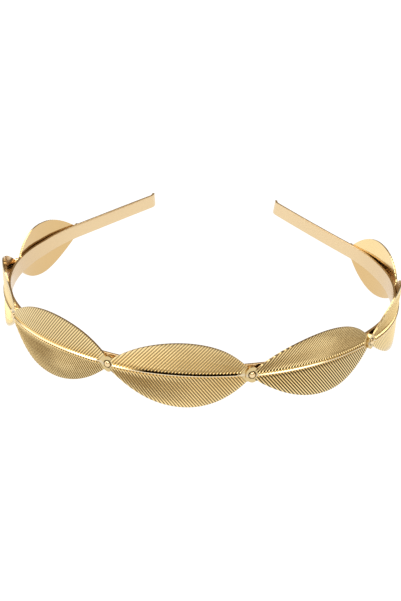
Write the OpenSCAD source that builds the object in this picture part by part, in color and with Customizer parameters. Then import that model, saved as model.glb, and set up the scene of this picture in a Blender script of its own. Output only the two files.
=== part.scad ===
// Leaf headband: a chain of ribbed leaves riveted along the outside of a thin strip of spring metal.
// It lies on its leaves' lower edges. +Y runs from the middle leaf to the open tails, and X is its width.
// Places along the strip are arc lengths s from its middle, positive to the right as worn from the front.

/* [Band] */
// Thickness of the strip
band_t = 0.85; // [0.7:0.05:1.2]
// Height of the strip behind the leaves
band_h = 5.2; // [4.6:0.1:5.6]
// Height of its bare tails
tail_h = 4.6; // [3.8:0.1:5]
// Chamfer along the strip's four long edges
band_edge = 0.2; // [0.1:0.05:0.3]
// Length of the left tail, from its rivet to where the tip turns outward
tail_len_left = 39.1; // [38:0.1:48]
// Length of the right tail
tail_len_right = 45; // [38:0.1:48]
// How far the left tail sweeps up towards its tip
tail_rise_left = 2.1; // [0:0.1:5]
// How far the right tail sweeps up towards its tip
tail_rise_right = 1.4; // [0:0.1:5]
// How far the strip's top leans outward at the left tail, in degrees
lean_left = 5.5; // [0:0.1:14]
// How far it leans outward at the right tail, in degrees
lean_right = 7.8; // [0:0.1:14]
// Length of the turned tip
tip_len = 4.5; // [3.5:0.5:5.5]
// Angle by which each tip turns outward
tip_turn = 50; // [40:1:60]

/* [Curve] */
// Radius of the strip behind the middle leaf
bend_center = 53.3; // [50:0.1:58]
// Radius behind the leaves beside it
bend_front = 64.1; // [60:0.1:68]
// Radius at the temples
bend_side = 64.1; // [60:0.1:68]
// Radius behind the back leaf on the left
bend_back_left = 71.9; // [66:0.1:78]
// Radius behind the back leaf on the right
bend_back_right = 63.9; // [60:0.1:70]
// Radius of the tails, which curve the other way
bend_tail = 470; // [300:10:600]

/* [Leaves] */
// Distance between the middle leaf's rivets
len_center = 39.2; // [37:0.1:40]
// Distance between the rivets of the leaves beside it
len_front = 42.4; // [40:0.1:43]
// Distance between the rivets of the side leaves
len_side = 40.8; // [40:0.1:43]
// Distance between the rivets of the back leaves
len_back = 36.6; // [36:0.1:39]
// Width of a leaf
leaf_w = 18.6; // [17:0.1:19]
// Width of the two back leaves
leaf_w_back = 16.9; // [16:0.1:18.5]
// How far past its middle, towards the tip, a leaf is widest
widest = 1.6; // [0:0.1:2]
// Thickness of the end tabs, and of the leaf in the grooves beside its midrib
leaf_t = 0.6; // [0.55:0.05:0.9]
// Thickness of the leaf in the grooves at its edge
rim_t = 0.45; // [0.4:0.05:0.7]
// Radius of the round end tabs
tab_r = 1.9; // [1.8:0.05:2.4]
// How far a leaf's long edges stand out from its midrib at mid-leaf
flare = 0.6; // [0:0.1:1.2]
// How far a back leaf's midrib stands further out at mid-leaf than at the tabs
bulge_back = 0.45; // [0.2:0.05:0.5]
// How far a back leaf's long edges fall back from its midrib
droop_back = 0.6; // [0:0.1:0.7]
// How softly the tab's outline runs into the leaf's
neck_blend = 2; // [0.8:0.1:2.4]

/* [Relief] */
// Distance from rib to rib along the midrib
rib_pitch = 0.9; // [0.85:0.05:1.2]
// Height of the ribs over the grooves
rib_h = 0.24; // [0.15:0.01:0.35]
// Angle between the ribs and the midrib
rib_angle = 50; // [48:1:60]
// How far each rib stands out of the leaf's outline
rib_tooth = 0.18; // [0.05:0.01:0.2]
// Height of the midrib over the grooves
midrib_h = 0.6; // [0.4:0.05:0.7]
// Width of the midrib at its foot
midrib_w = 1.5; // [1:0.1:1.6]
// Smooth stretch between the rivet at a leaf's base and its first rib
base_smooth = 2; // [1.6:0.1:2.6]
// Smooth stretch between a leaf's last rib and the rivet at its tip
tip_smooth = 4.5; // [4:0.1:6]

/* [Rivets] */
// Radius of the domed head
head_r = 0.9; // [0.8:0.05:1.15]
// Height of the domed head
head_h = 0.6; // [0.6:0.05:0.9]
// Radius of the shank
shank_r = 0.55; // [0.5:0.05:0.7]
// Radius of the flush end inside the strip
flush_r = 0.85; // [0.8:0.05:1]
// Depth of that end's countersink
flush_h = 0.35; // [0.3:0.05:0.4]
// Gap between any two pieces
gap = 0.05; // [0.04:0.01:0.06]

/* [Hidden] */

// The strip's arcs from its middle to one tip. A negative radius turns away from the head
arc_length = 0;
arc_radius = 1;
function arcs(back, tail) = [
    [len_center / 2, bend_center],
    [len_front, bend_front],
    [len_side, bend_side],
    [len_back, back],
    [tail, -bend_tail],
    [tip_len, -tip_len / (tip_turn * PI / 180)],
];
arcs_left = arcs(bend_back_left, tail_len_left);
arcs_right = arcs(bend_back_right, tail_len_right);

// Arc lengths of the four rivets on each half, and of the tip at the side of s
joint_front = len_center / 2;
joint_side = joint_front + len_front;
joint_back = joint_side + len_side;
joint_tail = joint_back + len_back;
function tail_end(s) = joint_tail + (s < 0 ? tail_len_left : tail_len_right);
function strip_end(s) = tail_end(s) + tip_len;

tab_flat = tab_r + 0.4;
rib_slant = 1 / tan(rib_angle);
first_level = band_t / 2 + gap;
level_step = leaf_t + gap;

// Where the strip runs at arc length s: x, y and heading in degrees
function walk(s, rows, i = 0, at = [0, 0, 0]) =
    let (row = rows[i],
         r = row[arc_radius],
         part = min(s, row[arc_length]),
         turned = at[2] + part / r * 180 / PI,
         to = [at.x + r * (sin(turned) - sin(at[2])), at.y - r * (cos(turned) - cos(at[2])), turned])
    s <= row[arc_length] || i == len(rows) - 1 ? to : walk(s - row[arc_length], rows, i + 1, to);
function walk_to(s) = walk(abs(s), s < 0 ? arcs_left : arcs_right);

function share(value, from, to) = min(1, max(0, (value - from) / (to - from)));

// How far the strip sweeps up between the middle of its back leaf and its tip
function strip_up(s) =
    let (part = share(abs(s), joint_tail - len_back / 2, tail_end(s)))
    (s < 0 ? tail_rise_left : tail_rise_right) * sin(90 * part);

// Angle by which the strip's top leans outward, which grows from the front of the side leaf to the tail
function strip_lean(s) = (s < 0 ? lean_left : lean_right) * share(abs(s), joint_side, joint_tail);

// The point at arc length s, out from the strip's middle layer, and up from its middle height
function place(s, out, up) =
    let (at = walk_to(s),
         side = s < 0 ? -1 : 1,
         lean = strip_lean(s),
         away = out * cos(lean) + up * sin(lean),
         z = up * cos(lean) - out * sin(lean) + strip_up(s))
    [side * (at.x + away * sin(at[2])), at.y - away * cos(at[2]), z];

// Faces of a closed skin over rings of eight points, each listed from outside bottom over the top and back
ring_size = 8;
cap = [[0, 1, 7], [1, 6, 7], [1, 2, 6], [2, 3, 6], [3, 5, 6], [3, 4, 5]];
function skin_faces(rings) = concat(
    [for (f = cap) [f[2], f[1], f[0]]],
    [for (i = [0:rings - 2], j = [0:ring_size - 1])
        let (a = i * ring_size + j, b = i * ring_size + (j + 1) % ring_size)
        each [[a, b, b + ring_size], [a, b + ring_size, a + ring_size]]],
    [for (f = cap) [for (j = f) j + (rings - 1) * ring_size]]);

// The strip's half height, which grows less behind the back leaf, round at the corners of its tips
function strip_half(s) =
    let (half = band_h / 2 + (tail_h - band_h) / 2 * share(abs(s), joint_back, joint_tail),
         corner = tail_h * 0.4,
         past = max(0, abs(s) - (strip_end(s) - corner)))
    half - corner + sqrt(max(0, corner * corner - past * past));

function strip_ring(s) =
    let (t = band_t / 2, e = band_edge, h = strip_half(s))
    [for (p = [[t, e - h], [t, h - e], [t - e, h], [e - t, h],
               [-t, h - e], [-t, e - h], [e - t, -h], [t - e, -h]]) place(s, p.x, p.y)];

// Stations from one tip to the other: even steps, then closer ones round the turned tips
strip_steps = 40;
tip_steps = 10;
tip_step = tip_len / tip_steps;
function half_stations(side) = concat([for (i = [0:strip_steps]) side * i * tail_end(side) / strip_steps],
                                      [for (i = [1:tip_steps - 1]) side * (tail_end(side) + i * tip_step)],
                                      [side * (strip_end(side) - tip_step / 3)]);
left_stations = half_stations(-1);
strip_stations = concat([for (i = [len(left_stations) - 1:-1:1]) left_stations[i]], half_stations(1));
strip_points = [for (s = strip_stations) each strip_ring(s)];

// Half width of a leaf at x from its middle: two arcs that run into a round tab at each rivet
function leaf_v(x, half_len, half) =
    let (r = (half_len * half_len + half * half) / (2 * half),
         along = x - widest * (1 - pow(min(1, abs(x) / half_len), 2)),
         arc = sqrt(r * r - along * along) - (r - half),
         off = abs(x) - half_len,
         tab = sqrt(max(0, tab_r * tab_r - off * off)))
    (arc + tab + sqrt(pow(arc - tab, 2) + pow(neck_blend, 2))) / 2
    - (neck_blend / 4) * exp(-pow(arc - tab, 2));

// Height at which a line that leaves the midrib at x with the given slant meets the outline
function leaf_edge(x, slant, half_len, half, low = 0, high = leaf_w, tries = 20) =
    let (mid = (low + high) / 2)
    tries == 0 ? mid :
    leaf_v(x + slant * mid, half_len, half) > mid
        ? leaf_edge(x, slant, half_len, half, mid, high, tries - 1)
        : leaf_edge(x, slant, half_len, half, low, mid, tries - 1);

// 0 within the flat tabs, 1 at mid-leaf, level at both ends
function swell(x, half_len) = 1 - pow(sin(90 * min(1, abs(x) / (half_len - tab_flat))), 4);

// Distance from the strip's middle layer to a leaf's inner face. The rise is 0 on the midrib, 1 at the widest
function inner_out(x, rise, half_len, base_out, arch) =
    let (q = max(-1, min(1, x / (half_len - tab_flat))), share = (1 + sin(90 * q)) / 2)
    base_out + (first_level - base_out) * share + swell(x, half_len) * (arch[0] + arch[1] * rise);

// Stations of a leaf from base to tip: place on the midrib, slant of the line to the edges, share of the
// rib's height, share of the midrib's height
station_x = 0;
station_slant = 1;
station_rib = 2;
station_mid = 3;
tab_angles = [10, 28, 48, 68];
neck_steps = 3;
function leaf_stations(half_len) =
    let (from = base_smooth - half_len,
         to = half_len - tip_smooth,
         ribs = round((to - from) / rib_pitch),
         step = (to - from) / ribs / 2)
    concat(
        [for (a = tab_angles) [-half_len - tab_r * cos(a), 0, 0, 0]],
        [for (i = [0:neck_steps - 1])
            [-half_len + base_smooth * i / neck_steps, rib_slant * i / neck_steps, 0, 0]],
        [for (i = [0:2 * ribs]) [from + i * step, rib_slant, i % 2, min(1, i / 4, (2 * ribs - i) / 4)]],
        [for (i = [1:neck_steps])
            [to + tip_smooth * i / neck_steps, rib_slant * (1 - i / neck_steps), 0, 0]],
        [for (i = [len(tab_angles) - 1:-1:0]) [half_len + tab_r * cos(tab_angles[i]), 0, 0, 0]]);

function leaf_ring(s, at, half_len, half, base_out, arch) =
    let (x = at[station_x],
         slant = at[station_slant],
         raised = at[station_rib],
         edge = leaf_edge(x, slant, half_len, half),
         rim = edge + rib_tooth * raised,
         foot = min(midrib_w / 2, edge / 2),
         thin = leaf_t + (rim_t - leaf_t) * swell(x, half_len),
         edge_x = x + slant * edge,
         foot_x = x + slant * foot,
         edge_in = inner_out(edge_x, edge / half, half_len, base_out, arch),
         foot_out = inner_out(foot_x, foot / half, half_len, base_out, arch) + leaf_t + rib_h * raised,
         rim_out = edge_in + thin + rib_h * raised,
         mid_in = inner_out(x, 0, half_len, base_out, arch),
         crest = mid_in + leaf_t + midrib_h * at[station_mid])
    [place(s + edge_x, rim_out, -rim), place(s + foot_x, foot_out, -foot), place(s + x, crest, 0),
     place(s + foot_x, foot_out, foot), place(s + edge_x, rim_out, rim), place(s + edge_x, edge_in, edge),
     place(s + x, mid_in, 0), place(s + edge_x, edge_in, -edge)];

// The leaves from left to right: arc length at the middle, half the distance between the rivets, half the
// width, how many tabs lie under the tab at the base, and how far the midrib and then the edges stand out.
// Each base lies over the tip of the leaf before it
leaf_s = 0;
leaf_half_len = 1;
leaf_half_w = 2;
leaf_over = 3;
leaf_arch = 4;
flared = [0, flare];
drooped = [bulge_back, -droop_back];
leaves = [
    [-(joint_back + joint_tail) / 2, len_back / 2, leaf_w_back / 2, 0, drooped],
    [-(joint_side + joint_back) / 2, len_side / 2, leaf_w / 2, 1, flared],
    [-(joint_front + joint_side) / 2, len_front / 2, leaf_w / 2, 1, flared],
    [0, len_center / 2, leaf_w / 2, 1, flared],
    [(joint_front + joint_side) / 2, len_front / 2, leaf_w / 2, 1, flared],
    [(joint_side + joint_back) / 2, len_side / 2, leaf_w / 2, 1, flared],
    [(joint_back + joint_tail) / 2, len_back / 2, leaf_w_back / 2, 1, drooped],
];

function leaf_points(row) =
    let (half_len = row[leaf_half_len], base_out = first_level + row[leaf_over] * level_step)
    [for (at = leaf_stations(half_len))
        each leaf_ring(row[leaf_s], at, half_len, row[leaf_half_w], base_out, row[leaf_arch])];

// The box runs from the middle leaf to the tips, and from the left side leaf to the head of the rivet behind
// the right one. The origin is under its centre, where the lowest ribs of the right side leaf rest
function head_seat(tabs) = first_level + tabs * level_step;
left_x = min([for (p = leaf_points(leaves[1])) p.x]);
right_x = place(joint_back, head_seat(2) + head_h, 0).x;
front_y = min([for (p = leaf_points(leaves[3])) p.y]);
back_y = max([for (p = strip_points) p.y]);
low_z = min([for (p = leaf_points(leaves[5])) p.z]);
origin = [-(left_x + right_x) / 2, -(front_y + back_y) / 2, -low_z];

// Turns a child's +Z outward at arc length s, with its z = 0 at the strip's middle layer
module outward(s)
    translate(place(s, 0, 0))
        rotate([0, 0, sign(s) * walk_to(s)[2]]) rotate([90 + strip_lean(s), 0, 0]) children();

// Sides of the holes, turned by half a side so that no corner of a hole lies on a leaf's middle lines
hole_sides = 32;
module rivet_hole(s) {
    outward(s) rotate([0, 0, 180 / hole_sides]) translate([0, 0, -band_t])
        cylinder(r = shank_r + gap, h = 8 * band_t, $fn = hole_sides);
}

module leaf(row) {
    translate(origin) color([0.86, 0.68, 0.36]) difference() {
        points = leaf_points(row);
        polyhedron(points, skin_faces(len(points) / ring_size));
        rivet_hole(row[leaf_s] - row[leaf_half_len]);
        rivet_hole(row[leaf_s] + row[leaf_half_len]);
    }
}

// A domed head over the tabs, a shank through them, and a countersunk end flush with the strip's inner face
dome_steps = 8;
module rivet(s, tabs) {
    seat = head_seat(tabs);
    inside = -band_t / 2;
    dome_r = (head_r * head_r + head_h * head_h) / (2 * head_h);
    dome_angle = asin(head_r / dome_r);
    profile = concat(
        [[0, inside], [flush_r - gap, inside], [shank_r, inside + flush_h], [shank_r, seat]],
        [for (i = [0:dome_steps])
            let (a = dome_angle * (1 - i / dome_steps))
            [dome_r * sin(a), seat + head_h - dome_r * (1 - cos(a))]]);
    translate(origin) color([0.90, 0.74, 0.44]) outward(s) rotate_extrude($fn = 32) polygon(profile);
}

module band() {
    translate(origin) color([0.90, 0.72, 0.48]) difference() {
        polyhedron(strip_points, skin_faces(len(strip_stations)));
        for (side = [-1, 1], s = [joint_front, joint_side, joint_back, joint_tail]) {
            rivet_hole(side * s);
            outward(side * s) translate([0, 0, -band_t / 2 - gap])
                rotate([0, 0, 180 / hole_sides])
                    cylinder(r1 = flush_r + gap, r2 = shank_r + gap, h = flush_h + gap, $fn = hole_sides);
        }
    }
}

module leaf_back_left() leaf(leaves[0]);
module leaf_side_left() leaf(leaves[1]);
module leaf_front_left() leaf(leaves[2]);
module leaf_center() leaf(leaves[3]);
module leaf_front_right() leaf(leaves[4]);
module leaf_side_right() leaf(leaves[5]);
module leaf_back_right() leaf(leaves[6]);

// The rivets run from the left tail round the front to the right tail
module rivet_1() rivet(-joint_tail, 1);
module rivet_2() rivet(-joint_back, 2);
module rivet_3() rivet(-joint_side, 2);
module rivet_4() rivet(-joint_front, 2);
module rivet_5() rivet(joint_front, 2);
module rivet_6() rivet(joint_side, 2);
module rivet_7() rivet(joint_back, 2);
module rivet_8() rivet(joint_tail, 1);

band();
leaf_center();
leaf_front_left();
leaf_front_right();
leaf_side_left();
leaf_side_right();
leaf_back_left();
leaf_back_right();
rivet_1();
rivet_2();
rivet_3();
rivet_4();
rivet_5();
rivet_6();
rivet_7();
rivet_8();
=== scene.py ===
"""Leaf headband: the looks of seven ribbed leaves riveted along a thin spring band.

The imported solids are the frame. Each leaf, the band and each rivet gets a finer piece that stands for its
solid, and the headband lies on a plain pale floor. Everything is in metres: X is the headband's width,
+Y runs from the middle leaf to the open tails, and +Z is up.
"""

from __future__ import annotations

import logging
import math
from dataclasses import dataclass, field
from enum import Enum
from typing import Callable, Iterable

import bpy
import numpy as np
from mathutils import Matrix, Vector


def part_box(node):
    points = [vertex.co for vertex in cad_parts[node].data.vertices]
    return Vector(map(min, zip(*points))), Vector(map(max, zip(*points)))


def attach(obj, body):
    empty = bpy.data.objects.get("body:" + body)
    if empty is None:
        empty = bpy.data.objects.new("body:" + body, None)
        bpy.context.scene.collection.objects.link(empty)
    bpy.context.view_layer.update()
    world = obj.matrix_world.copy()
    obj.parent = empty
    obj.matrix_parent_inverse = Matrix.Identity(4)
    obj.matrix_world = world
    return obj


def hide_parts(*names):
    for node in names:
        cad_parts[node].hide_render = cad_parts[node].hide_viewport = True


MM = 0.001

# The vertex masks that the finishes read: the inside tone, a painted highlight, a softer painted shade
# and a near-black painted shade. The tone of each lies over the tones before it.
MASKS = ("inside", "pale", "painted_shade", "shade")

Colour = tuple[float, float, float]
Shaper = Callable[[np.ndarray, np.ndarray, np.ndarray], dict[str, np.ndarray]]

logging.basicConfig(level=logging.INFO, format="%(message)s")
log = logging.getLogger("headband")

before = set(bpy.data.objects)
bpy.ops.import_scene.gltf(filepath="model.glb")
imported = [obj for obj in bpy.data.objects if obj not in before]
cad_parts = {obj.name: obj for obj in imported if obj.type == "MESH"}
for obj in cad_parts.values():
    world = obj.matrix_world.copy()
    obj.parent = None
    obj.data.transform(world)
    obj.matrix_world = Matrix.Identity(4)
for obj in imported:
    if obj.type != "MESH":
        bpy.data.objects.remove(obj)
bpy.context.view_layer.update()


class Face(Enum):
    """The two broad faces of a piece that follows the strip."""

    OUTER = 0.0
    INNER = 1.0


@dataclass(frozen=True)
class StripPath:
    """The curve of the strip's middle layer, as arcs from its middle to each tip.

    Places along it are arc lengths, positive to the right of the photograph.
    """

    thickness: float = 0.85 * MM
    # Arc lengths: of the leaves (half of the middle one on each side), the bare tails and the turned tips.
    len_center: float = 39.2 * MM
    len_front: float = 42.4 * MM
    len_side: float = 40.8 * MM
    len_back: float = 36.6 * MM
    tail_left: float = 39.1 * MM
    tail_right: float = 45 * MM
    len_tip: float = 4.5 * MM
    # Radii along the same stretches. The tails bend the other way.
    bend_center: float = 53.3 * MM
    bend_front: float = 64.1 * MM
    bend_side: float = 64.1 * MM
    bend_back_left: float = 71.9 * MM
    bend_back_right: float = 63.9 * MM
    bend_tail: float = -470 * MM
    # Angles in degrees: how far a tip turns outward, and how far the sides lean outward.
    tip_turn: float = 50.0
    lean_left: float = 5.5
    lean_right: float = 7.8
    # Heights by which the tails sweep up, and by which their tips curl up beyond that.
    rise_left: float = 2.1 * MM
    rise_right: float = 1.4 * MM
    tip_lift: float = 0.4 * MM

    @property
    def joints(self) -> list[float]:
        """Arc lengths of the four rivets on each half."""
        return list(np.cumsum([self.len_center / 2, self.len_front, self.len_side, self.len_back]))

    def rivet(self, number: int) -> float:
        """Arc length of a rivet: 1 is beside the middle leaf, 4 is the last, and the left is negative."""
        return math.copysign(self.joints[abs(number) - 1], number)

    def tip_start(self, s: np.ndarray) -> np.ndarray:
        """Arc length at which the tip at the side of s starts to turn outward."""
        return self.joints[-1] + np.where(s < 0, self.tail_left, self.tail_right)

    def end(self, s: np.ndarray) -> np.ndarray:
        """Arc length of the tip's end at the side of s."""
        return self.tip_start(s) + self.len_tip

    @property
    def origin(self) -> Vector:
        """Place of the strip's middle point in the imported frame, from the rivets beside the middle leaf.

        Returns:
            The point at arc length 0, in the strip's middle layer.
        """
        low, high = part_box("rivet_4")
        x = (low.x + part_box("rivet_5")[1].x) / 2
        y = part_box("band")[0].y + self.thickness / 2
        return Vector((x, y, (low.z + high.z) / 2))

    def walk(self, s: np.ndarray) -> tuple[np.ndarray, np.ndarray, np.ndarray]:
        """Where the strip runs, with the left half turned over onto the right.

        Args:
            s: Arc lengths, negative on the left.

        Returns:
            x, y and heading in radians, measured from the strip's middle point.
        """
        arcs = [
            (self.len_center / 2, self.bend_center),
            (self.len_front, self.bend_front),
            (self.len_side, self.bend_side),
            (self.len_back, np.where(s < 0, self.bend_back_left, self.bend_back_right)),
            (np.where(s < 0, self.tail_left, self.tail_right), self.bend_tail),
            (np.inf, -self.len_tip / math.radians(self.tip_turn)),
        ]
        x, y, heading = np.zeros_like(s), np.zeros_like(s), np.zeros_like(s)
        before = 0.0
        for length, radius in arcs:
            part = np.clip(np.abs(s) - before, 0.0, length)
            turned = heading + part / radius
            x = x + radius * (np.sin(turned) - np.sin(heading))
            y = y - radius * (np.cos(turned) - np.cos(heading))
            heading = turned
            before = before + length
        return x, y, heading

    def rise(self, s: np.ndarray) -> np.ndarray:
        """How far the strip sweeps up between the middle of its back leaf and its tip, whose end curls up.

        Args:
            s: Arc lengths, negative on the left.

        Returns:
            Heights over the strip's middle height at the front.
        """
        start = self.joints[-1] - self.len_back / 2
        along = np.clip((np.abs(s) - start) / (self.tip_start(s) - start), 0.0, 1.0)
        curl = np.clip((np.abs(s) - self.tip_start(s)) / self.len_tip, 0.0, 1.0)
        sweep = np.where(s < 0, self.rise_left, self.rise_right) * np.sin(along * math.pi / 2)
        return sweep + self.tip_lift * curl**2

    def lean(self, s: np.ndarray) -> np.ndarray:
        """Angle in radians by which the strip's top leans outward, from the side leaf to the tail."""
        along = np.clip((np.abs(s) - self.joints[1]) / (self.joints[3] - self.joints[1]), 0.0, 1.0)
        return np.radians(np.where(s < 0, self.lean_left, self.lean_right)) * along

    def place(self, s: np.ndarray, out: np.ndarray, up: np.ndarray) -> np.ndarray:
        """Points beside the strip.

        Args:
            s: Arc lengths, negative on the left.
            out: Distances outward from the strip's middle layer.
            up: Heights over the strip's middle height.

        Returns:
            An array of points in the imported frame, one row each.
        """
        s, out, up = (np.asarray(a, float).ravel() for a in np.broadcast_arrays(s, out, up))
        side = np.where(s < 0, -1.0, 1.0)
        x, y, heading = self.walk(s)
        lean = self.lean(s)
        away = out * np.cos(lean) + up * np.sin(lean)
        height = up * np.cos(lean) - out * np.sin(lean) + self.rise(s)
        points = np.stack([side * (x + away * np.sin(heading)), y - away * np.cos(heading), height], axis=1)
        return points + np.array(self.origin)

    def outward(self, s: float) -> Matrix:
        """The frame of a rivet: +Z points outward, and z = 0 is the strip's middle layer.

        Args:
            s: Its arc length, negative on the left.

        Returns:
            The matrix that puts a rivet standing on its flush end in its place.
        """
        here = np.array([s])
        turn = math.copysign(float(self.walk(here)[2][0]), s)
        tip = math.radians(90) + float(self.lean(here)[0])
        return (Matrix.Translation(self.place(here, 0.0, 0.0)[0])
                @ Matrix.Rotation(turn, 4, "Z") @ Matrix.Rotation(tip, 4, "X"))


@dataclass(frozen=True)
class TabStack:
    """The end tabs of the leaves, which lie over each other on the strip under each rivet."""

    path: StripPath
    thickness: float = 0.6 * MM
    gap: float = 0.05 * MM

    def over(self, tabs: int) -> float:
        """Distance from the strip's middle layer to what lies on a number of tabs."""
        return self.path.thickness / 2 + self.gap + tabs * (self.thickness + self.gap)


class Modeller:
    """The few modelling steps that all the pieces share."""

    @staticmethod
    def deselect() -> None:
        """Deselects every object."""
        bpy.ops.object.select_all(action="DESELECT")

    @classmethod
    def activate(cls, piece: bpy.types.Object) -> None:
        """Selects one piece alone and makes it the active one.

        Args:
            piece: The piece.
        """
        cls.deselect()
        piece.select_set(True)
        bpy.context.view_layer.objects.active = piece

    @classmethod
    def slab(cls, name: str, rows: int, columns: int) -> bpy.types.Object:
        """A flat slab: a grid whose whole face is extruded down by one, to be shaped by bend().

        Args:
            name: The piece's name.
            rows: Number of vertices along the piece.
            columns: Number of vertices across it.

        Returns:
            The new object.
        """
        cls.deselect()
        bpy.ops.mesh.primitive_grid_add(x_subdivisions=rows - 1, y_subdivisions=columns - 1, size=1.0)
        piece = bpy.context.active_object
        piece.name = piece.data.name = name
        bpy.ops.object.mode_set(mode="EDIT")
        bpy.ops.mesh.select_all(action="SELECT")
        bpy.ops.mesh.extrude_region_move(TRANSFORM_OT_translate={"value": (0.0, 0.0, -1.0)})
        bpy.ops.object.mode_set(mode="OBJECT")
        return piece

    @staticmethod
    def bend(piece: bpy.types.Object, rows: int, columns: int, shape: Shaper) -> None:
        """Moves the vertices of a slab to their places, and keeps the masks that its finish reads.

        Args:
            piece: A slab.
            rows: Its number of vertices along.
            columns: Its number of vertices across.
            shape: Gives the points, the pattern's uv and the masks for row, column and face numbers.
                A mask that it leaves out is 0 all over.
        """
        mesh = piece.data
        flat = np.zeros(len(mesh.vertices) * 3)
        mesh.vertices.foreach_get("co", flat)
        flat = flat.reshape(-1, 3)
        row = np.rint((flat[:, 0] + 0.5) * (rows - 1)).astype(int)
        column = np.rint((flat[:, 1] + 0.5) * (columns - 1)).astype(int)
        face = np.where(flat[:, 2] < -0.5, Face.INNER.value, Face.OUTER.value)
        made = shape(row, column, face)
        mesh.vertices.foreach_set("co", made["points"].ravel())
        corner = np.zeros(len(mesh.loops), int)
        mesh.loops.foreach_get("vertex_index", corner)
        layer = mesh.uv_layers.active or mesh.uv_layers.new(name="UVMap")
        layer.data.foreach_set("uv", made["uv"][corner].ravel())
        for name in MASKS:
            mask = mesh.attributes.new(name, "FLOAT", "POINT")
            mask.data.foreach_set("value", made.get(name, 0.0 * face).astype(np.float32))
        mesh.update()

    @classmethod
    def close(cls, piece: bpy.types.Object) -> None:
        """Points all faces of a closed piece outwards.

        Args:
            piece: The piece.
        """
        cls.activate(piece)
        bpy.ops.object.mode_set(mode="EDIT")
        bpy.ops.mesh.select_all(action="SELECT")
        bpy.ops.mesh.normals_make_consistent(inside=False)
        bpy.ops.object.mode_set(mode="OBJECT")

    @classmethod
    def round_edges(cls, piece: bpy.types.Object, width: float, segments: int, angle: float) -> None:
        """Rounds the edges that are sharper than an angle, with a Bevel modifier that is applied.

        Args:
            piece: The piece.
            width: Width of the rounding.
            segments: Number of faces across it.
            angle: The least angle between two faces, in degrees.
        """
        cls.activate(piece)
        rounding = piece.modifiers.new("rounding", "BEVEL")
        rounding.width = width
        rounding.segments = segments
        rounding.limit_method = "ANGLE"
        rounding.angle_limit = math.radians(angle)
        rounding.use_clamp_overlap = True
        bpy.ops.object.modifier_apply(modifier=rounding.name)

    @classmethod
    def smooth(cls, piece: bpy.types.Object, angle: float) -> None:
        """Shades a piece smooth, apart from the edges that are sharper than an angle in degrees."""
        cls.activate(piece)
        bpy.ops.object.shade_smooth_by_angle(angle=math.radians(angle))


class Nodes:
    """Adds and joins shader nodes in one tree."""

    def __init__(self, tree: bpy.types.NodeTree) -> None:
        """Keeps the tree to build in."""
        self.tree = tree

    def add(self, kind: str, **values: object) -> bpy.types.Node:
        """Adds a node.

        Args:
            kind: The node's type without its ShaderNode prefix, or a full type name.
            values: Properties to set, or input values, whose names have underscores for spaces.

        Returns:
            The new node.
        """
        full = kind if kind.startswith("Node") else "ShaderNode" + kind
        node = self.tree.nodes.new(full)
        for name, value in values.items():
            if hasattr(node, name):
                setattr(node, name, value)
            else:
                node.inputs[name.replace("_", " ")].default_value = value
        return node

    def join(self, source: bpy.types.NodeSocket, target: bpy.types.NodeSocket) -> None:
        """Links an output to an input."""
        self.tree.links.new(source, target)

    def math(self, operation: str, a: object, b: object = 0.0, clamp: bool = False) -> bpy.types.NodeSocket:
        """Adds a Math node.

        Args:
            operation: The node's operation.
            a: First number or socket.
            b: Second number or socket.
            clamp: Whether the result is held between 0 and 1.

        Returns:
            The node's output.
        """
        node = self.add("Math", operation=operation, use_clamp=clamp)
        for socket, value in zip(node.inputs, (a, b)):
            if isinstance(value, bpy.types.NodeSocket):
                self.join(value, socket)
            else:
                socket.default_value = value
        return node.outputs[0]

    def mix(self, factor: object, a: object, b: object) -> bpy.types.NodeSocket:
        """Adds a mix of two colours.

        Args:
            factor: Share of the second colour, as a number or socket.
            a: First colour or socket.
            b: Second colour or socket.

        Returns:
            The node's output.
        """
        node = self.add("Mix", data_type="RGBA")
        for number, value in ((0, factor), (6, a), (7, b)):
            if isinstance(value, bpy.types.NodeSocket):
                self.join(value, node.inputs[number])
            else:
                node.inputs[number].default_value = value
        return node.outputs[2]


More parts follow.
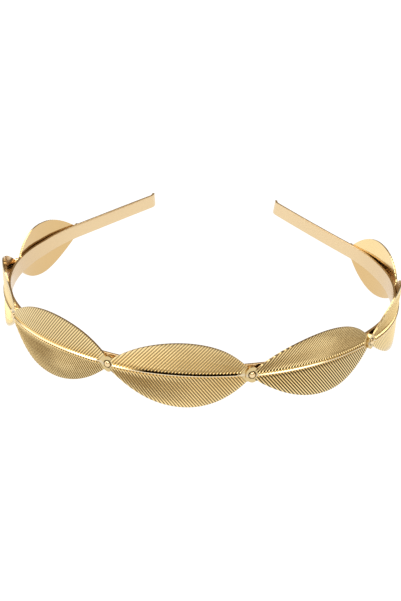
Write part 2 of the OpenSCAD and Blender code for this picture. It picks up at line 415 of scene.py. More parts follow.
class SharedEffects:
    """The shader node groups that the finishes share, each built once."""

    @staticmethod
    def _group(name: str, inputs: Iterable[str], outputs: Iterable[str]) -> bpy.types.NodeTree:
        """Starts a shader node group, whose inputs each finish sets.

        Args:
            name: The group's name.
            inputs: Names of the float inputs.
            outputs: Names of the float outputs.

        Returns:
            The group, with nothing in it.
        """
        tree = bpy.data.node_groups.new(name, "ShaderNodeTree")
        for label in inputs:
            tree.interface.new_socket(name=label, in_out="INPUT", socket_type="NodeSocketFloat")
        for label in outputs:
            tree.interface.new_socket(name=label, in_out="OUTPUT", socket_type="NodeSocketFloat")
        return tree

    @classmethod
    def cloud(cls) -> bpy.types.NodeTree:
        """Soft patches over the object.

        Returns:
            The group, which puts out a mask from 0 to 1.
        """
        found = bpy.data.node_groups.get("soft_patches")
        if found:
            return found
        tree = cls._group("soft_patches", ["Scale", "Sharpness"], ["Mask"])
        nodes = Nodes(tree)
        source, target = nodes.add("NodeGroupInput"), nodes.add("NodeGroupOutput")
        where = nodes.add("TexCoord")
        noise = nodes.add("TexNoise", Detail=3.0, Roughness=0.5)
        nodes.join(where.outputs["Object"], noise.inputs["Vector"])
        nodes.join(source.outputs["Scale"], noise.inputs["Scale"])
        centred = nodes.math("SUBTRACT", noise.outputs[0], 0.5)
        spread = nodes.math("MULTIPLY", centred, source.outputs["Sharpness"])
        nodes.join(nodes.math("ADD", spread, 0.5, clamp=True), target.inputs["Mask"])
        return tree

    @classmethod
    def brushing(cls) -> bpy.types.NodeTree:
        """Fine polishing marks along the piece, from its uv in metres.

        Returns:
            The group, which puts out a height from 0 to 1.
        """
        found = bpy.data.node_groups.get("polishing_marks")
        if found:
            return found
        tree = cls._group("polishing_marks", ["Across", "Along"], ["Height"])
        nodes = Nodes(tree)
        source, target = nodes.add("NodeGroupInput"), nodes.add("NodeGroupOutput")
        where = nodes.add("UVMap")
        parts = nodes.add("SeparateXYZ")
        nodes.join(where.outputs[0], parts.inputs[0])
        stretched = nodes.add("CombineXYZ")
        nodes.join(nodes.math("MULTIPLY", parts.outputs[0], source.outputs["Along"]), stretched.inputs[0])
        nodes.join(nodes.math("MULTIPLY", parts.outputs[1], source.outputs["Across"]), stretched.inputs[1])
        noise = nodes.add("TexNoise", Scale=1.0, Detail=2.0)
        nodes.join(stretched.outputs[0], noise.inputs["Vector"])
        nodes.join(noise.outputs[0], target.inputs["Height"])
        return tree


@dataclass(frozen=True)
class GoldFinish:
    """A plated gold that drifts between a bright and a warm tone, under other tones placed by masks."""

    name: str
    bright: Colour
    warm: Colour
    inside: Colour
    # The softer painted shade
    painted_shade: Colour
    roughness: float
    inside_roughness: float
    # A painted highlight, then a near-black tone for painted shade and painted dark reflection
    pale: Colour = (1.0, 0.93, 0.76)
    shade: Colour = (0.02, 0.011, 0.004)
    patch_scale: float = 60.0
    patch_sharpness: float = 1.0
    patch_roughness: float = 0.06
    marks_across: float = 9000.0
    marks_along: float = 260.0
    marks_depth: float = 0.1 * MM
    marks_strength: float = 0.03

    def make(self) -> bpy.types.Material:
        """Builds the material, or gives the one that is already there.

        Returns:
            The material.
        """
        found = bpy.data.materials.get(self.name)
        if found:
            return found
        material = bpy.data.materials.new(self.name)
        material.use_nodes = True
        material.node_tree.nodes.clear()
        nodes = Nodes(material.node_tree)
        shader = nodes.add("BsdfPrincipled", Metallic=1.0)
        output = nodes.add("OutputMaterial")
        nodes.join(shader.outputs[0], output.inputs[0])
        patches = nodes.add("Group", node_tree=SharedEffects.cloud(), Scale=self.patch_scale,
                            Sharpness=self.patch_sharpness)
        masks = {mask: nodes.add("Attribute", attribute_name=mask).outputs["Fac"] for mask in MASKS}
        colour = nodes.mix(patches.outputs[0], (*self.bright, 1.0), (*self.warm, 1.0))
        # Over the gold lie the inside tone, the painted highlight and the two painted shades, in this
        # order.
        for mask, tone in zip(MASKS, (self.inside, self.pale, self.painted_shade, self.shade)):
            colour = nodes.mix(masks[mask], colour, (*tone, 1.0))
        nodes.join(colour, shader.inputs["Base Color"])
        inner = nodes.math("MULTIPLY", masks["inside"], self.inside_roughness - self.roughness)
        varied = nodes.math("MULTIPLY", patches.outputs[0], self.patch_roughness)
        change = nodes.math("ADD", inner, varied)
        rough = nodes.math("ADD", change, self.roughness - self.patch_roughness / 2)
        nodes.join(rough, shader.inputs["Roughness"])
        marks = nodes.add("Group", node_tree=SharedEffects.brushing(), Across=self.marks_across,
                          Along=self.marks_along)
        bump = nodes.add("Bump", Strength=self.marks_strength, Distance=self.marks_depth)
        nodes.join(marks.outputs[0], bump.inputs["Height"])
        nodes.join(bump.outputs[0], shader.inputs["Normal"])
        return material


# In each finish, the tone given after inside is its softer painted shade.
LEAF_GOLD = GoldFinish(
    name="leaf_gold", bright=(0.98, 0.79, 0.42), warm=(0.95, 0.71, 0.34), inside=(0.68, 0.47, 0.22),
    painted_shade=(0.14, 0.092, 0.04), roughness=0.15, inside_roughness=0.1)
# The band's softer painted shade lies behind the front and side leaves.
BAND_GOLD = GoldFinish(
    name="band_gold", bright=(0.80, 0.60, 0.35), warm=(0.77, 0.57, 0.31), inside=(0.78, 0.60, 0.36),
    painted_shade=(0.5, 0.3, 0.12), roughness=0.2, inside_roughness=0.24)
RIVET_GOLD = GoldFinish(
    name="rivet_gold", bright=(0.86, 0.68, 0.40), warm=(0.84, 0.64, 0.36), inside=(0.84, 0.60, 0.32),
    painted_shade=(0.42, 0.22, 0.06), roughness=0.06, inside_roughness=0.3)


@dataclass
class Band:
    """The strip of spring metal, with two bare tails whose round tips turn outward."""

    path: StripPath
    height: float = 5.2 * MM
    tail_height: float = 4.6 * MM
    edge_rounding: float = 0.2 * MM
    edge_segments: int = 3
    edge_angle: float = 50.0
    smooth_angle: float = 40.0
    corner_share: float = 0.4
    end_gap: float = 0.16 * MM
    # Share of the softer painted shade behind the front and side leaves, where they shade the strip. It
    # fades out behind the back ones.
    painted_shade_behind_leaves: float = 0.38
    rows_half: int = 260
    rows_tip: int = 30
    columns: int = 7
    finish: GoldFinish = BAND_GOLD
    pieces: list[bpy.types.Object] = field(default_factory=list)

    def stations(self) -> np.ndarray:
        """Places the rows closer together round the turned tips.

        Returns:
            The rows' arc lengths, from the left tip to the right one.
        """
        halves = []
        for side in (-1.0, 1.0):
            start = float(self.path.tip_start(np.array(side)))
            turned = start + np.linspace(0.0, self.path.len_tip - self.end_gap, self.rows_tip)[1:]
            halves.append(side * np.concatenate([np.linspace(0.0, start, self.rows_half), turned]))
        return np.concatenate([halves[0][:0:-1], halves[1]])

    def half_height(self, s: np.ndarray) -> np.ndarray:
        """Half the strip's height, which falls behind the back leaves and ends in round corners.

        Args:
            s: Arc lengths, negative on the left.

        Returns:
            Half heights.
        """
        far = np.abs(s)
        low, high = self.path.joints[2:]
        bare = np.clip((far - low) / (high - low), 0.0, 1.0)
        half = (self.height + (self.tail_height - self.height) * bare) / 2
        corner = self.tail_height * self.corner_share
        past = np.clip(far - (self.path.end(s) - corner), 0.0, None)
        return half - corner + np.sqrt(np.clip(corner**2 - past**2, 0.0, None))

    def build(self) -> None:
        """Models the strip."""
        stations = self.stations()
        rows = len(stations)
        piece = Modeller.slab("band_strip", rows, self.columns)

        def shape(row: np.ndarray, column: np.ndarray, face: np.ndarray) -> dict[str, np.ndarray]:
            """Shapes the strip.

            Args:
                row: Row number of each vertex.
                column: Column number of each vertex.
                face: 0 on the outer face and 1 on the inner one.

            Returns:
                The points, the uv and the masks.
            """
            s = stations[row]
            across = column / (self.columns - 1) * 2 - 1
            up = across * self.half_height(s)
            out = self.path.thickness * (0.5 - face)
            # Painted shade behind the leaves
            shade_behind_leaves = np.interp(np.abs(s), self.path.joints[2:], [self.painted_shade_behind_leaves, 0.0])
            return {"points": self.path.place(s, out, up), "uv": np.stack([s, up], axis=1),
                    "painted_shade": shade_behind_leaves, "inside": face}

        Modeller.bend(piece, rows, self.columns, shape)
        Modeller.close(piece)
        Modeller.round_edges(piece, self.edge_rounding, self.edge_segments, self.edge_angle)
        Modeller.smooth(piece, self.smooth_angle)
        self.pieces.append(piece)

    def dress(self) -> None:
        """Gives the strip its finish and its place in the frame."""
        for piece in self.pieces:
            piece.data.materials.append(self.finish.make())
            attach(piece, "root")
            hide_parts("band")


@dataclass(frozen=True)
class LeafForm:
    """How wide a kind of leaf is, how far its middle bulges out, and how far its edges flare out."""

    width: float
    bulge: float
    flare: float


V_FOLDED = LeafForm(width=18.6 * MM, bulge=0.0, flare=0.6 * MM)
FALLING_BACK = LeafForm(width=16.9 * MM, bulge=0.45 * MM, flare=-0.6 * MM)


@dataclass(frozen=True)
class PaintedShading:
    """How much of each darker tone a leaf has, as shares from 0 to 1.

    The grooves have the softer painted shade. The near-black painted shade lies deep in the upper or lower
    grooves, on the midrib's upper flank as a painted dark reflection, and between the teeth beside it. The
    inner face has the inside tone, which an inner_upper below 1 thins on the upper half to paint it
    lighter.
    """

    grooves: float = 1.0
    deep_upper: float = 0.0
    deep_lower: float = 0.0
    flank: float = 0.0
    teeth: float = 0.0
    inner_upper: float = 1.0


@dataclass(frozen=True)
class LeafPlan:
    """One leaf of the chain: its solid's name, the rivets at its base and tip, its form and its tones.

    Rivets count outward from 1 beside the middle leaf, and are negative on the left. The leaf's base lies
    on the tip of the leaf before it, where there is one, and base_tabs is the number of tabs under it.
    tooth_share says how far the ribs run on into teeth at the upper rim.
    """

    node: str
    base_rivet: int
    tip_rivet: int
    form: LeafForm = V_FOLDED
    painted_shading: PaintedShading = PaintedShading()
    base_tabs: int = 1
    tooth_share: float = 1.0


# Each leaf's shares of painted shade, and the painted lighter upper inner half of the back right leaf
LEAVES = (
    LeafPlan("leaf_back_left", -4, -3, form=FALLING_BACK, base_tabs=0),
    LeafPlan("leaf_side_left", -3, -2, painted_shading=PaintedShading(grooves=0.7), tooth_share=0.0),
    LeafPlan("leaf_front_left", -2, -1, painted_shading=PaintedShading(deep_upper=0.2, deep_lower=0.55)),
    LeafPlan("leaf_center", -1, 1, painted_shading=PaintedShading(flank=1.0)),
    LeafPlan("leaf_front_right", 1, 2, painted_shading=PaintedShading(deep_upper=0.55, deep_lower=0.85, teeth=1.0)),
    LeafPlan("leaf_side_right", 2, 3, painted_shading=PaintedShading(grooves=0.7), tooth_share=0.0),
    LeafPlan("leaf_back_right", 3, 4, form=FALLING_BACK, painted_shading=PaintedShading(inner_upper=0.25)),
)


@dataclass
class Leaf:
    """One leaf: a smooth inner face, and outside it a midrib with slanting ribs on both sides."""

    path: StripPath
    tabs: TabStack
    plan: LeafPlan
    # The sheet and its outline
    widest: float = 1.6 * MM
    rim_thickness: float = 0.45 * MM
    tab_radius: float = 1.7 * MM
    tab_margin: float = 0.4 * MM
    neck_blend: float = 2.4 * MM
    neck_fill: float = 0.25
    neck_reach: float = 1.0 * MM
    edge_margin: float = 1.0 * MM
    edge_halvings: int = 30
    # The ribs, which end in a tooth at the upper rim and in a bead beside the midrib
    rib_pitch: float = 0.9 * MM
    rib_height: float = 0.24 * MM
    rib_angle: float = 50.0
    rib_tooth: float = 0.07 * MM
    rim_ribs: float = 0.6
    rim_power: int = 6
    groove_depth: float = 0.08 * MM
    bead_height: float = 0.34 * MM
    bead_from: float = 1.02 * MM
    bead_top: float = 0.66 * MM
    bead_to: float = 0.54 * MM
    # The midrib
    midrib_height: float = 0.6 * MM
    crest: float = 0.08 * MM
    foot: float = 0.5 * MM
    blend: float = 0.04 * MM
    # Where the relief starts and ends along the leaf
    base_fan: float = 1.6 * MM
    base_clear: float = 1.3 * MM
    base_fade: float = 0.4 * MM
    tip_smooth: float = 2.4 * MM
    under_tab: float = 2.1 * MM
    tip_fade: float = 0.5 * MM
    # Where the painted shade and the painted highlight lie
    groove_spread: float = 1.1
    teeth_spread: float = 1.5
    rib_cover: float = 1.6
    upper_share: float = 0.82
    # Painted dark reflection on the midrib's upper flank, and painted shade between the teeth and on the
    # rim
    flank_start: float = -0.75
    flank_fade: float = 0.3
    flank_from: float = 0.11 * MM
    flank_to: float = 0.56 * MM
    teeth_from: float = 0.3 * MM
    teeth_to: float = 1.0 * MM
    rim_from: float = 0.985
    rim_gaps: float = 0.6
    # Painted shadow round each rivet head, and painted shade on the smooth tabs
    rivet_seat: float = 1.15 * MM
    seat_shade: float = 0.8
    tab_shade: float = 0.36
    # A painted highlight along the midrib's crest
    crest_painted_highlight: float = 0.62
    crest_drop: float = 0.15 * MM
    crest_width: float = 0.36 * MM
    # The mesh
    rows_per_rib: int = 8
    fan_from: float = 0.03
    fan_rows: int = 8
    neck_rows: int = 9
    tab_rows: int = 9
    tab_from: float = 6.0
    tab_to: float = 78.0
    near_last: float = 1.02 * MM
    near_room: float = 2.2 * MM
    smooth_angle: float = 55.0

    @property
    def center(self) -> float:
        """Arc length of the leaf's middle."""
        return (self.path.rivet(self.plan.base_rivet) + self.path.rivet(self.plan.tip_rivet)) / 2

    @property
    def half(self) -> float:
        """Half the distance between the leaf's rivets."""
        return (self.path.rivet(self.plan.tip_rivet) - self.path.rivet(self.plan.base_rivet)) / 2

    @property
    def flat_from(self) -> float:
        """Distance from the leaf's middle past which it lies flat, as a tab."""
        return self.half - self.tab_radius - self.tab_margin

    def outline(self, x: np.ndarray) -> np.ndarray:
        """Half width of the leaf: two arcs that run into a round tab at each rivet.

        Args:
            x: Distances from the leaf's middle, positive towards its tip.

        Returns:
            Half widths.
        """
        half_width = self.plan.form.width / 2
        radius = (self.half**2 + half_width**2) / (2 * half_width)
        x = x - self.widest * (1 - np.minimum(1.0, np.abs(x) / self.half) ** 2)
        arc = np.sqrt(np.clip(radius**2 - x**2, 0.0, None)) - (radius - half_width)
        off = np.abs(x) - self.half
        tab = np.sqrt(np.clip(self.tab_radius**2 - off**2, 0.0, None))
        apart = arc - tab
        fillet = self.neck_blend * self.neck_fill * np.exp(-((apart / self.neck_reach) ** 2))
        return (arc + tab + np.hypot(apart, self.neck_blend)) / 2 - fillet

    def edge(self, x: np.ndarray, slant: np.ndarray) -> np.ndarray:
        """Height at which slanting lines that leave the midrib meet the outline, found by halving.

        Args:
            x: Distances from the leaf's middle at which the lines leave the midrib.
            slant: How far each line runs towards the tip for each unit of height.

        Returns:
            Heights over the leaf's middle line.
        """
        low, high = np.zeros_like(x), np.full_like(x, self.plan.form.width / 2 + self.edge_margin)
        for _ in range(self.edge_halvings):
            middle = (low + high) / 2
            inside = self.outline(x + slant * middle) > middle
            low, high = np.where(inside, middle, low), np.where(inside, high, middle)
        return low

    def swell(self, x: np.ndarray) -> np.ndarray:
        """0 within the flat tabs and 1 at mid-leaf, level at both ends."""
        return 1 - np.sin(np.clip(np.abs(x) / self.flat_from, 0.0, 1.0) * math.pi / 2) ** 4

    def inner_out(self, x: np.ndarray, z: np.ndarray) -> np.ndarray:
        """Distance from the strip's middle layer to the leaf's inner face.

        Args:
            x: Distances from the leaf's middle, positive towards its tip.
            z: Heights over the leaf's middle line.

        Returns:
            Distances outward.
        """
        base, tip = self.tabs.over(self.plan.base_tabs), self.tabs.over(0)
        share = (1 + np.sin(np.clip(x / self.flat_from, -1.0, 1.0) * math.pi / 2)) / 2
        arch = self.plan.form.bulge + self.plan.form.flare * z / (self.plan.form.width / 2)
        return base + (tip - base) * share + self.swell(x) * arch

    def stations(self) -> dict[str, np.ndarray]:
        """Places the rows: a fan at the base, the ribbed stretch, the neck at the tip and the tip's tab.

        Returns:
            For each row from base to tip its place on the midrib, its slant, the ribs' profile from 0 to
            1, and how far the row is ribbed at all, from 0 to 1.
        """
        start = -self.half - self.tab_radius
        first, last = start + self.base_fan, self.half - self.tip_smooth
        ribs = round((last - first) / self.rib_pitch)
        count = ribs * self.rows_per_rib
        turn = np.radians(np.linspace(self.tab_from, self.tab_to, self.tab_rows))
        fan = np.linspace(self.fan_from, 1, self.fan_rows, endpoint=False)
        neck = np.linspace(0, 1, self.neck_rows + 1)[1:]
        slant = 1 / math.tan(math.radians(self.rib_angle))
        wave = 0.5 - 0.5 * np.cos(np.linspace(0, ribs * 2 * math.pi, count + 1))
        to_tip = (count - np.arange(count + 1)) / (2 * self.rows_per_rib)
        tab = (self.half + self.tab_radius * np.cos(turn))[::-1]
        middle = np.linspace(first, last, count + 1)
        return {
            "x": np.concatenate([start + self.base_fan * fan, middle, last + self.tip_smooth * neck, tab]),
            "slant": np.concatenate([slant * fan, 0 * middle + slant, slant * (1 - neck), 0 * tab]),
            "rib": np.concatenate([0 * fan, wave, 0 * neck, 0 * tab]),
            "ribbed": np.concatenate([0 * fan, np.clip(to_tip, 0, 1), 0 * neck, 0 * tab]),
        }

    def columns(self) -> np.ndarray:
        """Places the columns from the midrib to one edge, closer together over the midrib and the beads.

        Returns:
            For each column its height near the midrib in metres, and its share of the edge's height.
        """
        near = (0.0, 0.05, 0.08, 0.12, 0.18, 0.25, 0.32, 0.39, 0.46,
                0.50, 0.54, 0.58, 0.62, 0.66, 0.72, 0.82, 0.92)
        shares = (0.0, 0.14, 0.28, 0.42, 0.56, 0.70, 0.84, 0.94, 0.99, 1.0)
        far = [(self.near_last * (1 - share), share) for share in shares]
        return np.array([(height * MM, 0.0) for height in near] + far)

    def relief(self, z: np.ndarray, wave: np.ndarray, midrib: np.ndarray) -> np.ndarray:
        """Height of the midrib and of the ribs, each of which ends in a raised bead beside it.

        Args:
            z: Height over the leaf's middle line.
            wave: The ribs' profile from 0 to 1.
            midrib: The midrib's share of its height.

        Returns:
            The height over the smooth leaf.
        """
        crest = self.midrib_height * midrib * np.clip((self.foot - z) / (self.foot - self.crest), 0.0, 1.0)
        bead = np.interp(z, [self.bead_to, self.bead_top, self.bead_from], [0.0, self.bead_height, 0.0])
        ends = np.interp(z, [self.foot, self.bead_top], [0.0, 1.0])
        ribs = self.rib_height * wave * ends + bead * wave - self.groove_depth * (midrib - wave) * ends
        return (crest + ribs + np.hypot(crest - ribs, self.blend) - self.blend) / 2

    def tones(self, x: np.ndarray, z: np.ndarray, upper: np.ndarray, rib: np.ndarray, free: np.ndarray,
              far: np.ndarray) -> tuple[np.ndarray, np.ndarray]:
        """Where darker gold and where near-black tone stays on the outer face.

        Args:
            x: Distance from the leaf's middle along the midrib.
            z: Height over the leaf's middle line.
            upper: Whether the point is on the upper half.
            rib: The ribs' profile from 0 to 1.
            free: 1 where the leaf is ribbed and 0 on its smooth tabs.
            far: Share of the way from the midrib to the edge.

        Returns:
            The masks of the softer and of the near-black painted shade.
        """
        painted_shading = self.plan.painted_shading
        # Painted shade in the grooves between the ribs
        between = np.clip(self.groove_spread - self.rib_cover * rib, 0.0, 1.0) * (z > self.foot)
        # Painted shade in the notches between the teeth
        notches = np.clip(self.teeth_spread - self.rib_cover * rib, 0.0, 1.0)
        # Painted contact shadow round the rivet head
        seat = np.hypot(self.half + x, z) < self.rivet_seat
        # Painted dark reflection on the midrib's upper flank, which fades in along the leaf
        along = np.clip((x / self.half - self.flank_start) / self.flank_fade, 0.0, 1.0)
        flank = painted_shading.flank * along * upper * (z > self.flank_from) * (z < self.flank_to)
        teeth = painted_shading.teeth * upper * notches * (z > self.teeth_from) * (z < self.teeth_to)
        # Deeper painted shade in the grooves
        deep = between * np.where(upper, painted_shading.deep_upper, painted_shading.deep_lower)
        grooves = between * painted_shading.grooves * np.where(upper, self.upper_share, 1.0)
        # Painted dark reflection along the upper rim, broken by the ribs
        rim = upper * (far > self.rim_from) * (1.0 - self.rim_gaps * rib)
        # The smooth tabs get painted shade as well
        painted_shade = np.maximum(np.maximum(grooves, rim) * free + self.tab_shade * (1 - free), seat)
        darkest = np.maximum(np.maximum(flank, teeth), deep) * free
        shade = np.maximum(darkest, self.seat_shade * seat * upper)
        return painted_shade, shade

    def build(self) -> bpy.types.Object:
        """Models the leaf.

        Returns:
            The finished piece.
        """
        rows = self.stations()
        half_columns = self.columns()
        order = np.concatenate([np.arange(len(half_columns) - 1, 0, -1), np.arange(len(half_columns))])
        side = np.concatenate([-np.ones(len(half_columns) - 1), np.ones(len(half_columns))])
        row_count, column_count = len(rows["x"]), len(order)
        piece = Modeller.slab(self.plan.node + "_sheet", row_count, column_count)
        edge = self.edge(rows["x"], rows["slant"])

        def shape(row: np.ndarray, column: np.ndarray, face: np.ndarray) -> dict[str, np.ndarray]:
            """Shapes the leaf.

            Args:
                row: Row number of each vertex.
                column: Column number of each vertex.
                face: 0 on the outer face and 1 on the inner one.

            Returns:
                The points, the uv and the masks.
            """
            near, far = half_columns[order[column]].T
            upper, outer = side[column] > 0, 1 - face
            height = near * np.minimum(1.0, edge[row] / self.near_room) + far * edge[row]
            x = rows["x"][row] + rows["slant"][row] * height
            to_base, to_tip = np.hypot(self.half + x, height), np.hypot(self.half - x, height)
            base_free = np.clip((to_base - self.base_clear) / self.base_fade, 0.0, 1.0)
            tip_free = np.clip((to_tip - self.under_tab) / self.tip_fade, 0.0, 1.0)
            free = tip_free * base_free * (x > -self.half) * rows["ribbed"][row]
            wave = rows["rib"][row] * free
            height = height + self.plan.tooth_share * self.rib_tooth * wave * far * outer * upper
            thinner = (self.rim_thickness - self.tabs.thickness) * self.swell(x)
            thickness = self.tabs.thickness + thinner * height / np.maximum(edge[row], MM)
            lost = (1 - self.rim_ribs * self.plan.tooth_share) * far**self.rim_power
            relief = self.relief(height, wave * (1 - lost), free)
            out = self.inner_out(x, height) + outer * (thickness + relief)
            up = side[column] * height
            painted_shade, shade = self.tones(x, height, upper, rows["rib"][row], free, far)
            # Painted highlight along the midrib's crest
            pale = self.crest_painted_highlight * np.exp(-((up + self.crest_drop) / self.crest_width) ** 2)
            # Masks: inside tone, painted lighter on some upper inner halves, then painted highlight and
            # painted shades
            return {"points": self.path.place(self.center + x, out, up), "uv": np.stack([x, up], axis=1),
                    "inside": face * np.where(upper, self.plan.painted_shading.inner_upper, 1.0),
                    "pale": pale * outer, "painted_shade": painted_shade * outer, "shade": shade * outer}

        Modeller.bend(piece, row_count, column_count, shape)
        Modeller.close(piece)
        Modeller.smooth(piece, self.smooth_angle)
        return piece


@dataclass
class LeafChain:
    """The seven leaves. Each base tab lies over the tip of the leaf before it, from left to right."""

    path: StripPath
    tabs: TabStack
    finish: GoldFinish = LEAF_GOLD
    pieces: list[bpy.types.Object] = field(default_factory=list)

    def build(self) -> None:
        """Models the leaves."""
        self.pieces = [Leaf(self.path, self.tabs, plan).build() for plan in LEAVES]

    def dress(self) -> None:
        """Gives the leaves their finish and their place in the frame."""
        for plan, piece in zip(LEAVES, self.pieces):
            piece.data.materials.append(self.finish.make())
            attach(piece, "root")
            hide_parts(plan.node)


@dataclass
class Rivets:
    """A domed rivet at each end of the chain and at each place where two leaves meet."""

    path: StripPath
    tabs: TabStack
    head_radius: float = 0.9 * MM
    head_height: float = 0.59 * MM
    head_rim: float = 0.04 * MM
    shank_radius: float = 0.55 * MM
    flush_radius: float = 0.8 * MM
    flush_depth: float = 0.35 * MM
    sunk: float = 0.05 * MM
    segments: int = 40
    dome_steps: int = 10
    smooth_angle: float = 50.0
    finish: GoldFinish = RIVET_GOLD
    pieces: list[bpy.types.Object] = field(default_factory=list)

    def profile(self, tabs: int) -> list[tuple[float, float]]:
        """Lists a rivet's rings, from the flush end inside the strip to the dome's crown.

        Args:
            tabs: Number of leaf tabs under its head.

        Returns:
            Radius and height of each ring.
        """
        inside = -self.path.thickness / 2
        seat = self.tabs.over(tabs)
        sphere = (self.head_radius**2 + self.head_height**2) / (2 * self.head_height)
        widest = math.asin(self.head_radius / sphere)
        rings = [
            (self.flush_radius, inside + self.sunk), (self.shank_radius, inside + self.flush_depth),
            (self.shank_radius, seat), (self.head_radius, seat), (self.head_radius, seat + self.head_rim),
        ]
        top = seat + self.head_height
        for step in range(1, self.dome_steps):
            angle = widest * (1 - step / self.dome_steps)
            rings.append((sphere * math.sin(angle), top - sphere * (1 - math.cos(angle))))
        return rings

    def model(self, name: str, tabs: int) -> bpy.types.Object:
        """Models one rivet standing on its flush end, ring by ring.

        Args:
            name: The piece's name.
            tabs: Number of leaf tabs under its head.

        Returns:
            The rivet, with its own mesh.
        """
        rings = self.profile(tabs)
        Modeller.deselect()
        bpy.ops.mesh.primitive_circle_add(vertices=self.segments, radius=rings[0][0], fill_type="NGON",
                                          location=(0.0, 0.0, rings[0][1]))
        piece = bpy.context.active_object
        piece.name = piece.data.name = name
        bpy.ops.object.transform_apply(location=True, rotation=True, scale=True)
        bpy.ops.object.mode_set(mode="EDIT")
        bpy.ops.mesh.select_all(action="SELECT")
        for (radius, height), (next_radius, next_height) in zip(rings, rings[1:]):
            bpy.ops.mesh.extrude_region_move(
                TRANSFORM_OT_translate={"value": (0.0, 0.0, next_height - height)})
            share = next_radius / radius
            bpy.ops.transform.resize(value=(share, share, 1.0), center_override=(0.0, 0.0, next_height))
        bpy.ops.mesh.select_all(action="SELECT")
        bpy.ops.mesh.normals_make_consistent(inside=False)
        bpy.ops.object.mode_set(mode="OBJECT")
        return piece

    def build(self) -> None:
        """Models the rivets from left to right. Those at the two ends of the chain go through one tab."""
        last = len(self.path.joints)
        numbers = [side * count for side in (-1, 1) for count in range(1, last + 1)]
        for number, place in enumerate(sorted(numbers), start=1):
            piece = self.model(f"rivet_{number}_dome", tabs=1 if abs(place) == last else 2)
            piece.data.transform(self.path.outward(self.path.rivet(place)))
            Modeller.smooth(piece, self.smooth_angle)
            for mask in MASKS:
                piece.data.attributes.new(mask, "FLOAT", "POINT")
            self.pieces.append(piece)

    def dress(self) -> None:
        """Gives the rivets their finish and their place in the frame."""
        for number, piece in enumerate(self.pieces, start=1):
            piece.data.materials.append(self.finish.make())
            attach(piece, "root")
            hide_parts(f"rivet_{number}")


@dataclass(frozen=True)
class Softbox:
    """A soft light round the headband: angles in degrees from the front, and glow as radiance."""

    name: str
    azimuth: float
    elevation: float
    width: float
    height: float
    glow: float
    distance: float = 1.2


# Name, azimuth, elevation, width, height, glow
SOFTBOXES = (
    Softbox("left_softbox", -90.0, 12.0, 0.9, 0.48, 1.35),
    Softbox("left_front_softbox", -42.0, 11.0, 0.85, 0.44, 0.55),
    Softbox("front_low_softbox", 0.0, 12.0, 0.8, 0.44, 0.4),
    Softbox("right_front_softbox", 40.0, 9.0, 0.8, 0.36, 1.0),
    Softbox("right_softbox", 92.0, 12.0, 1.4, 0.44, 0.5),
    Softbox("front_softbox", 0.0, 36.0, 0.7, 0.5, 1.1),
    Softbox("left_high_softbox", -115.0, 48.0, 1.2, 0.8, 1.3),
)


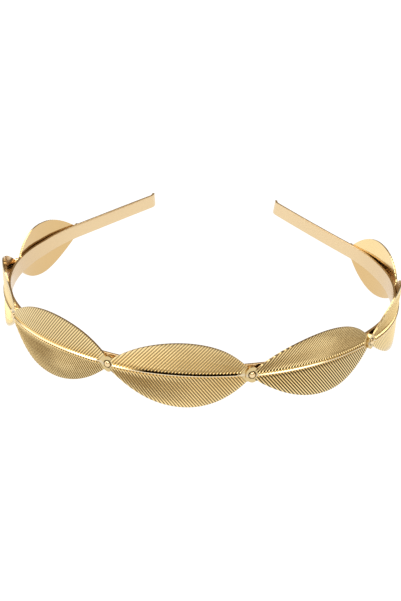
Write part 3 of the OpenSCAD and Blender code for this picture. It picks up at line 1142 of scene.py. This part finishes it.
@dataclass
class Studio:
    """The floor, the soft light and the camera."""

    elevation: float = 22.96
    azimuth: float = 4.97
    roll: float = 2.17
    distance: float = 376.9 * MM
    target: tuple[float, float, float] = (0.55 * MM, -16.52 * MM, 8.06 * MM)
    lens: float = 72.6
    sensor: float = 36.0
    floor_size: float = 24.0
    floor_glow: float = 1.0
    floor_roughness: float = 0.9
    floor_grey: Colour = (0.05, 0.05, 0.05)
    floor_white: Colour = (1.0, 1.0, 1.0)
    near_clip: float = 0.01
    dome_light: float = 3.0
    dome_dim: Colour = (0.11, 0.085, 0.055)
    ring_bright: Colour = (1.0, 0.97, 0.9)
    ring_low: tuple[float, float] = (0.74, 0.79)
    ring_high: tuple[float, float] = (0.91, 0.95)

    def camera(self) -> None:
        """Sets up the camera at the photograph's angle."""
        data = bpy.data.cameras.new("camera")
        data.sensor_fit = "AUTO"
        data.sensor_width = self.sensor
        data.lens = self.lens
        data.clip_start = self.near_clip
        camera = bpy.data.objects.new("camera", data)
        bpy.context.scene.collection.objects.link(camera)
        turn = (Matrix.Rotation(math.radians(self.azimuth), 4, "Z")
                @ Matrix.Rotation(math.radians(90 - self.elevation), 4, "X"))
        back = turn @ Vector((0.0, 0.0, self.distance))
        camera.matrix_world = (Matrix.Translation(Vector(self.target) + back.to_3d())
                               @ turn @ Matrix.Rotation(math.radians(self.roll), 4, "Z"))
        bpy.context.scene.camera = camera

    def floor(self) -> None:
        """Lays the plain pale floor."""
        Modeller.deselect()
        bpy.ops.mesh.primitive_plane_add(size=self.floor_size, location=(0.0, 0.0, 0.0))
        floor = bpy.context.active_object
        floor.name = "floor"
        material = bpy.data.materials.new("pale_floor")
        material.use_nodes = True
        shader = material.node_tree.nodes["Principled BSDF"]
        shader.inputs["Base Color"].default_value = (*self.floor_grey, 1.0)
        shader.inputs["Roughness"].default_value = self.floor_roughness
        shader.inputs["Emission Color"].default_value = (*self.floor_white, 1.0)
        shader.inputs["Emission Strength"].default_value = self.floor_glow
        floor.data.materials.append(material)

    def world(self) -> None:
        """Sets a dim dome with a soft ring of light high up, which polished faces mirror as a line."""
        world = bpy.data.worlds.new("studio_dome")
        world.use_nodes = True
        nodes = Nodes(world.node_tree)
        background = world.node_tree.nodes["Background"]
        background.inputs["Strength"].default_value = self.dome_light
        where = nodes.add("TexCoord")
        parts = nodes.add("SeparateXYZ")
        nodes.join(where.outputs["Generated"], parts.inputs[0])
        bottom, low = self.ring_low
        high, top = self.ring_high
        up = nodes.add("MapRange", interpolation_type="SMOOTHSTEP", From_Min=bottom, From_Max=low)
        down = nodes.add("MapRange", interpolation_type="SMOOTHSTEP", From_Min=top, From_Max=high)
        for side in (up, down):
            nodes.join(parts.outputs[2], side.inputs[0])
        ring = nodes.math("MULTIPLY", up.outputs[0], down.outputs[0])
        light = nodes.mix(ring, (*self.dome_dim, 1.0), (*self.ring_bright, 1.0))
        nodes.join(light, background.inputs["Color"])
        bpy.context.scene.world = world

    def softbox(self, box: Softbox) -> None:
        """Hangs one softbox that faces the headband.

        Args:
            box: The softbox.
        """
        azimuth, elevation = math.radians(box.azimuth), math.radians(box.elevation)
        flat = box.distance * math.cos(elevation)
        height = box.distance * math.sin(elevation)
        place = Vector((flat * math.sin(azimuth), -flat * math.cos(azimuth), height))
        data = bpy.data.lights.new(box.name, "AREA")
        data.shape = "RECTANGLE"
        data.size, data.size_y = box.width, box.height
        data.energy = box.glow * math.pi * box.width * box.height
        light = bpy.data.objects.new(box.name, data)
        light.location = place
        light.rotation_euler = (-place).to_track_quat("-Z", "Y").to_euler()
        bpy.context.scene.collection.objects.link(light)

    def build(self) -> None:
        """Sets up the whole studio."""
        self.floor()
        self.world()
        for box in SOFTBOXES:
            self.softbox(box)
        self.camera()
        bpy.context.scene.view_settings.view_transform = "Standard"


def main() -> None:
    """Builds the headband's sub-assemblies in order, and then the studio."""
    path = StripPath()
    tabs = TabStack(path)
    for part in (Band(path), LeafChain(path, tabs), Rivets(path, tabs)):
        part.build()
        part.dress()
        for piece in part.pieces:
            log.info("%s: %d faces", piece.name, len(piece.data.polygons))
    Studio().build()


if __name__ == "__main__":
    main()
